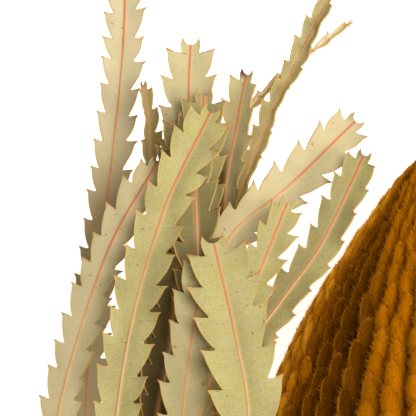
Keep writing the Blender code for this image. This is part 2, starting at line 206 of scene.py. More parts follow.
# Each leaf: twig, share of the way along it, turn round it in degrees, blade width, roll and
# fold in degrees, and its route in space
LEAVES = {
    "leaf_front_right": ("side", 0.72, 62, 16.0, 4, 10, [
        (-43.0, -6.0, 64.0), (-41.5, 16.0, 70.0), (-44.0, 32.0, 70.0), (-49.4, 55.2, 66.0)]),
    "leaf_front_middle": ("side", 0.80, 112, 11.5, 0, 13, [
        (-56.5, 5.0, 55.0), (-55.0, 23.5, 61.0), (-52.0, 43.0, 62.0), (-50.5, 50.5, 61.0)]),
    "leaf_front_left": ("side", 0.60, 128, 11.4, -8, 13, [
        (-67.0, -12.0, 53.0), (-71.0, 4.0, 58.0), (-67.0, 34.5, 60.0), (-59.5, 61.0, 57.0),
        (-49.0, 83.0, 52.0)]),
    "leaf_left": ("side", 0.48, 150, 9.4, -6, 13, [
        (-72.0, -30.0, 42.0), (-84.0, -4.0, 46.0), (-83.0, 16.0, 46.0), (-73.0, 49.5, 47.5),
        (-61.0, 71.5, 47.0)]),
    "leaf_far_left": ("side", 0.54, 205, 9.5, 0, 13, [
        (-70.0, -26.0, 22.0), (-77.0, 0.0, 18.0), (-76.5, 33.5, 18.0), (-72.0, 70.0, 16.0),
        (-69.5, 96.0, 9.0), (-69.0, 118.0, 0.4)]),
    "leaf_behind_left": ("side", 0.70, 168, 12.0, 6, 13, [
        (-66.5, -2.0, 32.5), (-65.0, 15.5, 33.0), (-58.5, 36.0, 34.5), (-56.0, 49.5, 35.0)]),
    "leaf_dark_left": ("side", 0.84, 160, 12.0, 0, 13, [
        (-61.5, 14.0, 41.5), (-59.0, 27.5, 43.5), (-56.0, 54.0, 47.0)]),
    "leaf_dark_middle": ("side", 0.90, 120, 11.0, -6, 13, [
        (-54.0, 24.0, 50.0), (-52.5, 45.0, 53.0), (-53.0, 66.0, 51.0), (-53.5, 74.5, 49.0)]),
    "leaf_low_middle": ("side", 0.93, 165, 12.4, 2, 13, [
        (-58.0, 29.5, 39.5), (-57.5, 51.5, 41.5), (-54.5, 82.0, 43.0)]),
    "leaf_inner": ("side", 0.965, 340, 11.4, 0, 13, [
        (-53.0, 29.5, 36.5), (-52.5, 51.5, 38.5), (-51.0, 87.0, 42.0)]),
    "leaf_broad": ("side", 0.95, 255, 12.6, -3, 10, [
        (-53.0, 29.0, 30.5), (-54.5, 51.5, 32.0), (-54.5, 82.0, 36.0), (-54.0, 98.6, 38.0)]),
    "leaf_curled": ("side", 0.78, 222, 7.5, 58, 20, [
        (-63.5, 14.0, 25.0), (-63.5, 40.5, 27.0), (-62.5, 62.5, 30.0), (-64.5, 89.0, 33.0)]),
    "leaf_brown_tip": ("side", 0.92, 285, 9.8, -30, 24, [
        (-49.5, 30.0, 25.5), (-48.0, 49.0, 28.0), (-44.5, 75.5, 33.0), (-41.3, 91.6, 36.0)]),
    "leaf_long_right": ("side", 0.86, 262, 7.2, -15, 52, [
        (-50.5, 24.0, 19.5), (-48.0, 49.0, 20.5), (-38.6, 76.0, 24.0), (-30.6, 93.6, 26.0),
        (-22.7, 108.6, 27.0)]),
    "leaf_thin_right": ("side", 0.74, 290, 5.2, -30, 75, [
        (-48.0, 10.0, 12.0), (-48.5, 49.0, 10.0), (-46.0, 72.0, 10.0), (-38.0, 86.0, 11.0),
        (-17.5, 103.0, 13.0)]),
    "leaf_wide_right": ("side", 0.88, 20, 11.2, 4, 13, [
        (-48.5, 16.0, 41.5), (-50.0, 36.0, 43.0), (-46.0, 53.5, 43.5), (-31.5, 66.5, 43.0),
        (-16.6, 81.0, 42.0)]),
    "leaf_short_right": ("side", 0.885, 85, 9.5, 10, 13, [
        (-52.0, 15.0, 53.5), (-48.0, 28.0, 57.0), (-39.0, 47.0, 57.5), (-32.5, 63.0, 55.0)]),
    "leaf_edge_right": ("side", 0.80, 40, 9.0, -14, 13, [
        (-46.0, 14.0, 48.5), (-43.0, 27.5, 51.5), (-34.5, 40.0, 51.5), (-25.5, 52.5, 49.5),
        (-15.5, 73.5, 48.5)]),
    "leaf_beside_head": ("main", 0.14, 2, 14.0, 0, 13, [
        (30.0, -31.0, 44.0), (51.0, -12.0, 46.0), (55.0, 20.0, 44.0), (50.0, 52.0, 38.0),
        (42.0, 84.0, 31.0)]),
    "leaf_over_head": ("main", 0.10, 78, 13.0, 14, 13, [
        (15.0, -22.0, 72.0), (27.0, 4.0, 86.0), (34.0, 34.0, 84.0), (37.0, 66.0, 72.0)]),
    "leaf_ground_right": ("main", 0.24, -22, 13.0, 0, 13, [
        (36.0, -36.0, 27.0), (66.0, -14.0, 14.0), (82.0, 22.0, 5.0), (88.0, 60.0, 0.5)]),
    "leaf_spread_right": ("main", 0.36, 24, 13.0, 0, 13, [
        (34.0, -46.0, 60.0), (68.0, -34.0, 62.0), (100.0, -12.0, 52.0), (120.0, 16.0, 38.0)]),
    "leaf_low_right": ("main", 0.58, -6, 12.0, 0, 13, [
        (34.0, -74.0, 50.0), (64.0, -78.0, 42.0), (96.0, -74.0, 26.0), (122.0, -62.0, 10.0)]),
    "leaf_under_stem": ("main", 0.32, -80, 11.0, 0, 13, [
        (9.0, -66.0, 24.0), (26.0, -90.0, 13.0), (46.0, -112.0, 0.4)]),
    "leaf_back_left": ("main", 0.84, 172, 12.0, 0, 13, [
        (-24.0, -112.0, 50.0), (-52.0, -116.0, 42.0), (-80.0, -108.0, 28.0), (-100.0, -92.0, 14.0)]),
    "leaf_back_low": ("main", 0.72, 215, 11.0, 0, 13, [
        (-22.0, -104.0, 34.0), (-44.0, -112.0, 18.0), (-70.0, -106.0, 0.4)]),
}

# Painted shade on the left and right halves of blades deep in the tuft or turned from the light: 0
# none, plain khaki; 1 dark olive brown
LEAF_SHADE = {
    "leaf_brown_tip": (1.0, 0.4), "leaf_curled": (0.75, 0.75), "leaf_dark_left": (0.82, 0.8),
    "leaf_dark_middle": (0.8, 0.85), "leaf_edge_right": (0.5, 0.2), "leaf_short_right": (0.22, 0.22),
    "leaf_low_middle": (0.95, 0.85), "leaf_inner": (0.55, 0.55), "leaf_behind_left": (0.5, 0.5),
    "leaf_long_right": (0.3, 0.1),
}
# Between which shares of its length a blade's painted shade lifts towards its tip, and how much
SHADE_LIFT = {"leaf_brown_tip": (0.74, 0.92, 1.0), "leaf_dark_left": (0.85, 1.0, 0.5)}
USUAL_SHADE_LIFT = (0.55, 1.0, 0.4)
# How much painted shade darkens a blade towards its foot, and how brown its very end
FOOT_SHADE = 0.18
DEAD_END = 0.25
DEAD_FROM = 0.97
# How burnt the tip of a blade is
BURNT_TIPS = {
    "leaf_brown_tip": 1.0, "leaf_curled": 0.5, "leaf_edge_right": 0.35, "leaf_wide_right": 0.25,
}
# How far a blade is paled: partly its own bleaching, partly painted light on blades that fall in shade
PALE_AND_LIT = {
    "leaf_far_left": 0.75, "leaf_front_middle": 0.3, "leaf_broad": 0.4, "leaf_wide_right": 0.5,
    "leaf_left": 0.52, "leaf_brown_tip": 0.3, "leaf_behind_left": 0.4, "leaf_thin_right": 0.9,
    "leaf_long_right": 0.15, "leaf_beside_head": 0.3, "leaf_spread_right": 0.4,
}
# How deep the left and right teeth are, where they are shallower than usual
SHALLOW_TEETH = {
    "leaf_edge_right": (0.9, 0.45), "leaf_long_right": (0.9, 0.5), "leaf_brown_tip": (1.0, 0.5),
}
# How wide the change from a blade's left half to its right half is, to each side of the rib
HALF_BLEND = 0.6

# Studio: soft light from above and a white floor that bounces it back. Lengths here are in
# metres, and a lamp has a place, a size and a power.
FLOOR_SIZE = 30.0
WHITE = (1.0, 1.0, 1.0, 1.0)
LAMPS = {"key_light": ((0.95, -0.1, 0.9), 0.4, 8.0), "top_light": ((0.24, 0.12, 1.33), 0.5, 14.0)}
LAMP_TARGET = (-0.02, 0.03, 0.03)
AIR_STRENGTH = 0.15

# The camera looks straight down on this place; the picture is this wide at this distance, in mm
VIEW_CENTRE = (-50.2, 60.8)
VIEW_HEIGHT = 1245.0
FRAME_WIDTH = 91.52
FRAME_DISTANCE = 1200.0
SENSOR = 36.0


def tint(red, green, blue):
    """A colour written in 0 to 255 display values, as the linear values that shaders take."""
    linear = [
        ((part / 255 + 0.055) / 1.055) ** 2.4 if part > 10 else part / 3294
        for part in (red, green, blue)
    ]
    return (*linear, 1.0)


class Field:
    """A shader value; an expression on it adds the Math nodes that work it out."""

    def __init__(self, finish, socket):
        self.finish = finish
        self.socket = socket

    def _with(self, operation, first, second):
        return self.finish.node("ShaderNodeMath", {"operation": operation}, {0: first, 1: second})

    def __add__(self, other):
        return self._with("ADD", self, other)

    def __sub__(self, other):
        return self._with("SUBTRACT", self, other)

    def __rsub__(self, other):
        return self._with("SUBTRACT", other, self)

    def __mul__(self, other):
        return self._with("MULTIPLY", self, other)


class Finish:
    """One material and its nodes."""

    def __init__(self, name, **constants):
        self.material = bpy.data.materials.new(name)
        self.material.use_nodes = True
        self.tree = self.material.node_tree
        self.shader = self.tree.nodes["Principled BSDF"]
        for socket, value in constants.items():
            self.shader.inputs[socket.replace("_", " ")].default_value = value

    def node(self, kind, settings=None, sockets=None, output=0):
        """Adds a node: its settings are set first, then its sockets are given values or links."""
        made = self.tree.nodes.new(kind)
        for key, value in (settings or {}).items():
            setattr(made, key, value)
        for key, value in (sockets or {}).items():
            if isinstance(value, Field):
                self.tree.links.new(value.socket, made.inputs[key])
            else:
                made.inputs[key].default_value = value
        return Field(self, made.outputs[output])

    def feed(self, socket, value):
        self.tree.links.new(value.socket, self.shader.inputs[socket])

    def place(self):
        return self.node("ShaderNodeTexCoord", output="Object")

    def painted(self, name):
        """A value stored on the mesh."""
        return self.node("ShaderNodeAttribute", {"attribute_name": name}, output="Fac")

    def blend(self, share, first, second):
        settings = {"data_type": "RGBA", "clamp_factor": True}
        return self.node("ShaderNodeMix", settings, {"Factor": share, 6: first, 7: second}, output=2)

    def mottle(self, scale, detail=2.0, stretch=(1.0, 1.0, 1.0)):
        """Cloudy noise from 0 to 1; a stretch over 1 packs it closer along that axis."""
        spot = self.node("ShaderNodeMapping", None, {"Vector": self.place(), "Scale": stretch})
        return self.node("ShaderNodeTexNoise", None, {"Vector": spot, "Scale": scale, "Detail": detail})

    def step(self, value, low, high):
        """0 below low, 1 above high, smooth between."""
        limits = {"Value": value, 1: low, 2: high, 3: 0.0, 4: 1.0}
        return self.node("ShaderNodeMapRange", {"interpolation_type": "SMOOTHSTEP"}, limits)

    def bumps(self, height, strength, distance):
        self.feed("Normal", self.node("ShaderNodeBump", None, {
            "Height": height, "Strength": strength, "Distance": distance}))


def velvet(name, roughness):
    """A finish with a golden sheen and no gloss."""
    return Finish(
        name, Roughness=roughness, Sheen_Weight=0.6, Sheen_Roughness=0.45,
        Sheen_Tint=tint(236, 150, 24), Specular_IOR_Level=0.0)


def painted_shade_share(finish):
    """1 where painted shade darkens the florets on the head's shoulders, 0 where they are plain or
    carry painted rim light.
    """
    return finish.step(finish.painted("age"), 0.5, 1.0)


def painted_rim_light_share(finish):
    """1 where painted rim light lightens the florets on the head's sides, 0 where they are plain or
    carry painted shade.
    """
    return 1.0 - finish.step(finish.painted("age"), 0.0, 0.5)


def floret_finish():
    """Golden velvet: painted shade deep between the florets and on their sides, paler and pinker at
    their rounded tips, with painted shade on the head's shoulders and painted rim light below them.
    """
    finish = velvet("golden_velvet", 0.92)
    depth = finish.painted("depth")
    rise = finish.painted("rise")
    tone = finish.painted("tone")
    grain = finish.mottle(2600.0, 3.0)
    cloud = finish.mottle(160.0, 2.0)
    # Painted light round the head: shade on the shoulders, rim light on the sides below them
    shade_band = painted_shade_share(finish)
    rim_light_band = painted_rim_light_share(finish)
    shine = tone * 0.6 + cloud * 0.5
    unshaded = finish.blend(shine, tint(172, 97, 0), tint(194, 116, 0))
    unshaded = finish.blend(rim_light_band, unshaded, tint(240, 170, 40))
    body = finish.blend(shade_band, unshaded, finish.blend(shine, tint(84, 43, 0), tint(116, 63, 1)))
    # Painted shadow colour, darker on the shaded shoulders and lighter where rim light is painted
    shadow = finish.blend(shade_band, tint(158, 88, 0), tint(58, 27, 0))
    shadow = finish.blend(rim_light_band * 0.7, shadow, tint(206, 134, 26))
    body = finish.blend(finish.step(grain, 0.35, 0.75) * 0.4, body, shadow)
    # Painted shade on the sides of each floret
    body = finish.blend(finish.step(finish.painted("flank"), 0.3, 0.9) * 0.9, body, shadow)
    # Painted highlight on the downhill side of each floret on the shaded shoulders
    rim = finish.step(finish.painted("rim"), 0.3, 0.7) * shade_band
    body = finish.blend(rim * 0.95, body, tint(216, 142, 30))
    # Painted shade deep between the florets
    hollow = finish.blend(shade_band, tint(148, 82, 0), tint(42, 18, 0))
    deep = finish.blend(finish.step(depth, 0.35, 0.9), hollow, body)
    tip = finish.step(rise, 0.86, 1.0) * finish.step(tone, 0.15, 0.9)
    finish.feed("Base Color", finish.blend(tip * 0.45, deep, tint(232, 138, 48)))
    finish.bumps(grain + cloud * 0.5, 0.6, 0.0004)
    return finish.material


def core_finish():
    """The dark brown wool that shows between the florets, with painted shade on the head's shoulders.
    """
    finish = Finish("brown_wool", Roughness=0.95, Specular_IOR_Level=0.0)
    wool = finish.mottle(1800.0, 3.0)
    unshaded = finish.blend(wool, tint(120, 66, 0), tint(158, 90, 0))
    # Painted shade on the head's shoulders
    finish.feed("Base Color", finish.blend(painted_shade_share(finish), unshaded, tint(50, 23, 0)))
    finish.bumps(wool, 0.7, 0.0006)
    return finish.material


def hair_finish():
    """Short golden hairs with painted shade on the sides of a floret that face away from the light,
    painted shade on the head's shoulders and painted rim light below them.
    """
    finish = velvet("golden_hairs", 0.85)
    tone = finish.painted("tone")
    unshaded = finish.blend(tone, tint(124, 66, 0), tint(242, 158, 14))
    # Painted rim light on the sides below the shoulders
    unshaded = finish.blend(painted_rim_light_share(finish) * 0.9, unshaded, tint(246, 180, 46))
    # Colours for the shoulders, where shade is painted
    brown = finish.blend(tone, tint(46, 20, 0), tint(228, 146, 24))
    finish.feed("Base Color", finish.blend(painted_shade_share(finish), unshaded, brown))
    return finish.material


def leaf_finish():
    """Dry khaki blade with a salmon rib, fine cross veins, a yellow margin with a painted highlight,
    brown specks, painted shade, and pale parts that are partly painted light.
    """
    finish = Finish("dry_leaf", Sheen_Weight=0.08, Specular_IOR_Level=0.3)
    along = finish.painted("along")
    across = finish.painted("across")
    edge = finish.painted("edge")
    spine = finish.painted("spine")
    tone = finish.painted("tone")
    cloud = finish.mottle(90.0, 3.0)
    grain = finish.mottle(1500.0, 3.0)
    wander = finish.mottle(420.0, 2.0)
    phase = (along - across * 0.2 + wander * 0.8) * 7.4
    veins = finish.step(finish.node("ShaderNodeMath", {"operation": "SINE"}, {0: phase}), 0.35, 1.0)
    net = finish.node("ShaderNodeTexVoronoi", {"feature": "DISTANCE_TO_EDGE"}, {
        "Vector": finish.place(), "Scale": 900.0}, output="Distance")
    net = 1.0 - finish.step(net, 0.0, 0.12)
    blade = finish.blend(cloud, tint(178, 163, 100), tint(200, 186, 126))
    blade = finish.blend(finish.step(wander, 0.44, 0.68) * 0.65, blade, tint(186, 173, 92))
    blade = finish.blend(veins * 0.14, blade, tint(214, 202, 156))
    blade = finish.blend(net * 0.08, blade, tint(168, 152, 92))
    blade = finish.blend(finish.step(grain, 0.42, 0.8) * 0.42, blade, tint(148, 134, 80))
    # Paled partly by bleaching and partly by painted light
    blade = finish.blend(finish.painted("pale"), blade, tint(226, 208, 168))
    # Painted shade from the tone
    blade = finish.blend(tone, blade, tint(80, 64, 25))
    specks = finish.step(finish.mottle(900.0, 0.0), 0.83, 0.86)
    blade = finish.blend(specks * 0.8, blade, tint(138, 84, 38))
    flush = (1.0 - finish.step(across, 0.2, 1.2)) * 0.3
    blade = finish.blend(flush, blade, tint(222, 186, 128))
    # The yellow margin: partly the blade's own edge colour, partly a painted highlight along it
    margin = 1.0 - finish.step(edge, 0.08, 0.4)
    blade = finish.blend(margin * 0.65, blade, tint(212, 174, 84))
    rib = 1.0 - finish.step(across, 0.15, 0.4)
    flushed = finish.step(finish.painted("share") + cloud * 0.4 - 0.2, 0.55, 1.0)
    rib_colour = finish.blend(flushed, tint(226, 168, 110), tint(208, 108, 64))
    blade = finish.blend(rib * 0.82, blade, rib_colour)
    blade = finish.blend(finish.painted("burnt"), blade, tint(96, 56, 50))
    finish.feed("Base Color", finish.blend(spine * 0.9, blade, tint(212, 132, 50)))
    finish.feed("Roughness", 0.72 - margin * 0.15 - rib * 0.12)
    finish.bumps(veins * 0.12 - net * 0.12 + grain * 0.3, 0.5, 0.0002)
    return finish.material


def bark_finish():
    """Grey-brown bark with long cracks and pale flecks."""
    finish = Finish("twig_bark", Roughness=0.88)
    cracks = finish.mottle(900.0, 5.0, (1.0, 0.22, 1.0))
    cloud = finish.mottle(140.0, 3.0)
    bark = finish.blend(cloud, tint(96, 72, 50), tint(146, 116, 84))
    bark = finish.blend(1.0 - finish.step(cracks, 0.3, 0.5), bark, tint(52, 34, 22))
    flecks = finish.step(finish.mottle(700.0, 2.0), 0.62, 0.7)
    finish.feed("Base Color", finish.blend(flecks * 0.5, bark, tint(186, 164, 128)))
    finish.bumps(cracks, 0.9, 0.0008)
    return finish.material


def curve_point(points, place):
    """A point on the smooth curve through the points; place runs from 0 to 1."""
    count = len(points) - 1
    scaled = min(max(place, 0.0), 1.0) * count
    index = min(int(scaled), count - 1)
    share = scaled - index
    here = Vector(points[index])
    after = Vector(points[index + 1])
    before = Vector(points[index - 1]) if index else 2 * here - after
    later = Vector(points[index + 2]) if index + 2 <= count else 2 * after - here
    return 0.5 * (
        2 * here
        + (after - before) * share
        + (2 * before - 5 * here + 4 * after - later) * share**2
        + (3 * here - before - 3 * after + later) * share**3
    )


def even_stations(points, spacing):
    """Points spaced evenly along the smooth curve, and its whole length."""
    fine = [curve_point(points, step / CURVE_STEPS) for step in range(CURVE_STEPS + 1)]
    lengths = [0.0]
    for first, second in zip(fine, fine[1:]):
        lengths.append(lengths[-1] + (second - first).length)
    total = lengths[-1]
    count = max(2, round(total / spacing))
    stations = []
    index = 0
    for step in range(count + 1):
        wanted = total * step / count
        while index < len(lengths) - 2 and lengths[index + 1] < wanted:
            index += 1
        share = (wanted - lengths[index]) / (lengths[index + 1] - lengths[index])
        stations.append(fine[index].lerp(fine[index + 1], share))
    return stations, total


def head_axis(station):
    """The point on the head's axis at a distance along it."""
    along = station - BELLY_STATION
    return Vector((
        0.0,
        BELLY_STATION + along * cos(HEAD_DROOP),
        BELLY_HEIGHT - along * sin(HEAD_DROOP),
    ))


def head_point(angle, station, radius):
    """A point on the head, pressed flat where it would reach below the ground."""
    lift = Vector((0.0, sin(HEAD_DROOP), cos(HEAD_DROOP)))
    point = head_axis(station) + radius * (sin(angle) * Vector((1.0, 0.0, 0.0)) + cos(angle) * lift)
    point.z = max(point.z, GROUND_CLEARANCE)
    return point


class Meridian:
    """The head's outline by distance along it, so that florets wrap round its curve."""

    def __init__(self):
        outline = [(station, radius, 0.0) for station, radius in HEAD_OUTLINE]
        self.rings, self.length = even_stations(outline, FLORET_PITCH / 2)
        self.spacing = self.length / (len(self.rings) - 1)

    def at(self, distance):
        """Station and radius, and the outline's outward slope there."""
        place = min(max(distance / self.spacing, 0.0), len(self.rings) - 1.001)
        index = int(place)
        first = self.rings[index]
        second = self.rings[index + 1]
        here = first.lerp(second, place - index)
        step = second - first
        outward = Vector((-step.y, step.x)).normalized()
        beyond = distance - min(max(distance, 0.0), self.length)
        forward = Vector((step.x, step.y)).normalized() * beyond
        return here.x + forward.x, max(here.y + forward.y, 0.0), outward


def begin():
    """Nothing is selected, so that an operator acts only on what is added next."""
    bpy.ops.object.select_all(action="DESELECT")


def mesh_object(name, vertices, faces, material):
    """Makes one object from points in millimetres, smooth all over."""
    mesh = bpy.data.meshes.new(name)
    mesh.from_pydata([tuple(corner * MM for corner in point) for point in vertices], [], faces)
    mesh.shade_smooth()
    mesh.materials.append(material)
    piece = bpy.data.objects.new(name, mesh)
    bpy.context.scene.collection.objects.link(piece)
    return piece


def store(mesh, **layers):
    """Stores layers of one number for each vertex, for a material to read."""
    for name, values in layers.items():
        layer = mesh.attributes.new(name, "FLOAT", "POINT")
        layer.data.foreach_set("value", np.asarray(values, dtype=np.float32))


def declare(piece, slot, *nodes):
    """Attaches the piece to the body that it rides on and hides the nodes that it replaces; the slot is
    not used.
    """
    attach(piece, BODY)
    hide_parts(*nodes)


def floret_pattern():
    """One floret, modelled once: a finger that leaves the core and turns up towards the tip."""
    begin()
    along, out, width = FLORET_START
    bpy.ops.mesh.primitive_circle_add(
        vertices=FLORET_SIDES, radius=width, fill_type="NGON", location=(0.0, out, along))
    item = bpy.context.object
    bpy.ops.object.mode_set(mode="EDIT")
    bpy.ops.mesh.select_all(action="SELECT")
    bpy.ops.transform.resize(
        value=(1.0, FLORET_ROUNDNESS, 1.0), center_override=(0.0, out, along))
    for step_along, step_out, step_width in FLORET_STEPS:
        bpy.ops.mesh.extrude_region_move(TRANSFORM_OT_translate={
            "value": (0.0, step_out - out, step_along - along)})
        scale = step_width / width
        bpy.ops.transform.resize(
            value=(scale, scale, 1.0), center_override=(0.0, step_out, step_along))
        along, out, width = step_along, step_out, step_width
    bpy.ops.object.mode_set(mode="OBJECT")
    bpy.ops.object.transform_apply(location=True, rotation=True, scale=True)
    points = [tuple(vertex.co) for vertex in item.data.vertices]
    faces = [tuple(face.vertices) for face in item.data.polygons]
    bpy.data.objects.remove(item)
    return points, faces


def floret_section(along):
    """How far out the middle of a floret is, and half its width, at a place along it."""
    sections = [FLORET_START] + FLORET_STEPS
    for first, second in zip(sections, sections[1:]):
        if along <= second[0]:
            break
    share = (along - first[0]) / (second[0] - first[0])
    return first[1] + (second[1] - first[1]) * share, first[2] + (second[2] - first[2]) * share


def floret_places(meridian):
    """Where each floret sits: its column's angle and its distance along the outline."""
    step = 2 * pi / FLORET_COLUMNS
    last = len(meridian.rings) - 1
    for ring in range(1, last):
        for item in range(FLORET_COLUMNS // 2):
            column = 2 * item + (ring + 1) % 2
            yield column * step, ring * meridian.spacing


def age_round(turn, radius):
    """The painted light on the florets round the head: 0.5 plain on top, 1 painted shade on the
    shoulders, 0 painted rim light on the sides.
    """
    from_top = abs((turn + pi) % (2 * pi) - pi)
    spread = LIT_SPREAD * max(0.0, 1.0 - radius / SPREAD_RADIUS)
    steps = []
    for first, last, wider in ((*SHADE_FROM, spread), (*SHADE_TO, 0.0)):
        share = min(1.0, max(0.0, (from_top - first - wider) / (last - first)))
        steps.append(share * share * (3 - 2 * share))
    return 0.5 + 0.5 * steps[0] * (1.0 - steps[1]) - 0.5 * steps[1]


class Floret:
    """One floret's place on the head, its size, its band of painted light and shade, and what chance
    does to it.
    """

    def __init__(self, meridian, angle, distance, draw):
        self.meridian = meridian
        self.angle = angle
        self.distance = distance
        _, self.radius, _ = meridian.at(distance)
        self.column_width = max(2 * pi * self.radius / FLORET_COLUMNS, 0.5)
        self.small = min(1.0, self.radius / SHRINK_RADIUS + SMALLEST_SHARE)
        self.length = FLORET_PITCH * draw.uniform(*LENGTH_CHANCE)
        self.lean = draw.uniform(-LEAN_CHANCE, LEAN_CHANCE)
        self.proud = draw.uniform(-PROUD_CHANCE, PROUD_CHANCE)
        self.tone = draw.random()
        # Where the floret falls in the band of painted light and shade round the head
        self.age = age_round(angle + draw.uniform(-LIGHT_BAND_CHANCE, LIGHT_BAND_CHANCE), self.radius)
        self.downhill = 1.0 if angle < pi else -1.0

    def wrap(self, side, out, along):
        """A place beside, out from and along the floret, set on the head's curve."""
        station, radius, outward = self.meridian.at(self.distance + along * self.length)
        lift = out * self.small + self.proud
        station += outward.x * lift
        radius = max(radius + outward.y * lift, 0.05)
        across = (side + self.lean * (along + LEAN_PIVOT)) * self.column_width
        return head_point(self.angle + across / max(radius, self.radius * 0.5, 0.5), station, radius)


class Coat:
    """The hairs on one half of the head."""

    def __init__(self):
        self.points = []
        self.faces = []
        self.tones = []
        self.ages = []

    def grow(self, floret, draw):
        """One hair, a thin three-sided spike that points up the floret and away from it."""
        along = draw.uniform(*HAIR_PLACES)
        middle, spread = floret_section(along)
        turn = draw.uniform(-HAIR_TURN, HAIR_TURN)
        side = spread * sin(turn)
        out = middle + FLORET_ROUNDNESS * spread * cos(turn)
        root = floret.wrap(side * HAIR_ROOT_SIDE, out - HAIR_ROOT, along)
        worn = WORN_HAIRS * max(0.0, 1.0 - 2 * floret.age)
        reach = HAIR_LENGTH * draw.uniform(*HAIR_LENGTHS) * floret.small * (1.0 - worn)
        splay = sin(turn) * draw.uniform(*HAIR_SPLAY) + draw.uniform(-HAIR_STRAY, HAIR_STRAY)
        tip = floret.wrap(
            side + splay * reach / floret.column_width,
            out + HAIR_OUT * reach * (0.4 + cos(turn)),
            along + HAIR_FORWARD * reach / floret.length,
        )
        span = (tip - root).cross(UP)
        if span.length < 1e-6:
            return
        span = span.normalized() * HAIR_WIDTH / 2
        rear = span.cross(tip - root).normalized() * HAIR_WIDTH / 2
        start = len(self.points)
        self.points += [root - span, root + span, root + rear, tip]
        self.faces += [
            (start, start + 1, start + 3), (start + 1, start + 2, start + 3),
            (start + 2, start, start + 3), (start + 1, start, start + 2),
        ]
        # Painted light and shade: each hair is brightest on the side of its floret that faces the
        # light, turned downhill on the shaded shoulders, and darker at its root
        lit_turn = floret.downhill * RIM_TURN * max(0.0, 2 * floret.age - 1.0)
        lit = UNLIT_TONE + (1.0 - UNLIT_TONE) * max(0.0, cos(turn - lit_turn))
        shade = draw.uniform(*HAIR_TONES) * lit
        self.tones += [shade * ROOT_TONE] * 3 + [shade]
        self.ages += [floret.age] * 4


def build_florets(material, hair_material):
    """Every floret, wrapped round the head, and the short hairs that make it velvet."""
    draw = Random(FLORET_SEED)
    meridian = Meridian()
    pattern, pattern_faces = floret_pattern()
    vertices = []
    faces = []
    looks = []
    coats = {"left": Coat(), "right": Coat()}
    foot, lowest, _ = FLORET_START
    rise = FLORET_STEPS[-1][0] - foot
    for angle, distance in floret_places(meridian):
        floret = Floret(meridian, angle, distance, draw)
        first = len(vertices)
        faces += [tuple(first + corner for corner in face) for face in pattern_faces]
        for side, out, along in pattern:
            half = floret_section(along)[1]
            vertices.append(floret.wrap(side, out, along))
            # Layers for the finish: depth and flank carry painted shade deep between the florets and on
            # their sides, rim a painted highlight on their downhill side, and the last the band of
            # painted light and shade round the head
            looks.append((
                1.0 - out / lowest, (along - foot) / rise, floret.tone, abs(side) / half,
                max(0.0, side * floret.downhill) / half, floret.age,
            ))
        coat = coats["right" if angle < pi else "left"]
        for _ in range(HAIRS_PER_FLORET):
            coat.grow(floret, draw)
    florets = mesh_object("packed_florets", vertices, faces, material)
    layers = zip(("depth", "rise", "tone", "flank", "rim", "age"), zip(*looks))
    store(florets.data, **dict(layers))
    declare(florets, "florets", "flower_head")
    for side, coat in coats.items():
        hairs = mesh_object("floret_hairs_" + side, coat.points, coat.faces, hair_material)
        store(hairs.data, tone=coat.tones, age=coat.ages)
        declare(hairs, "florets", "flower_head")


def build_core(material):
    """The woody core under the florets, from a sphere drawn out to the head's outline."""
    begin()
    bpy.ops.mesh.primitive_uv_sphere_add(
        segments=CORE_SEGMENTS, ring_count=CORE_RINGS, radius=1.0)
    core = bpy.context.object
    core.name = "woolly_core"
    meridian = Meridian()
    age = []
    for vertex in core.data.vertices:
        height = max(-1.0, min(1.0, vertex.co.z))
        turn = np.arctan2(vertex.co.x, vertex.co.y)
        share = 0.5 + np.arcsin(height) / pi
        station, radius, outward = meridian.at(share * meridian.length)
        depth = min(CORE_DEPTH, radius * CORE_SHARE)
        station -= outward.x * depth
        radius = 0.0 if abs(height) > 0.9999 else max(0.2, radius - outward.y * depth)
        vertex.co = head_point(turn, station, radius) * MM
        # Where the core falls in the band of painted light and shade round the head
        age.append(age_round(turn, radius))
    store(core.data, age=age)
    bpy.ops.object.mode_set(mode="EDIT")
    bpy.ops.mesh.select_all(action="SELECT")
    bpy.ops.mesh.normals_make_consistent(inside=False)
    bpy.ops.object.mode_set(mode="OBJECT")
    bpy.ops.object.shade_smooth()
    core.data.materials.append(material)
    declare(core, "florets", "flower_head")


def main_route():
    """The main stem starts just clear of the head, in line with its axis."""
    top = head_axis(HEAD_OUTLINE[0][0] - STEM_TOP_GAP)
    return [tuple(top), *MAIN_STEM]


def twig_frame(points, radii, place):
    """Centre, direction, right, up and radius of a stem at a place from 0 to 1."""
    centre = curve_point(points, place)
    along = (curve_point(points, place + 0.01) - curve_point(points, place - 0.01)).normalized()
    lift = (UP - along * UP.dot(along)).normalized()
    side = along.cross(lift)
    if side.x < 0.0:
        side = -side
    radius = radii[0] + (radii[1] - radii[0]) * place
    return centre, along, side, lift, radius


TWIGS = {"main": (main_route(), MAIN_RADII), "side": (SIDE_TWIG, SIDE_RADII)}


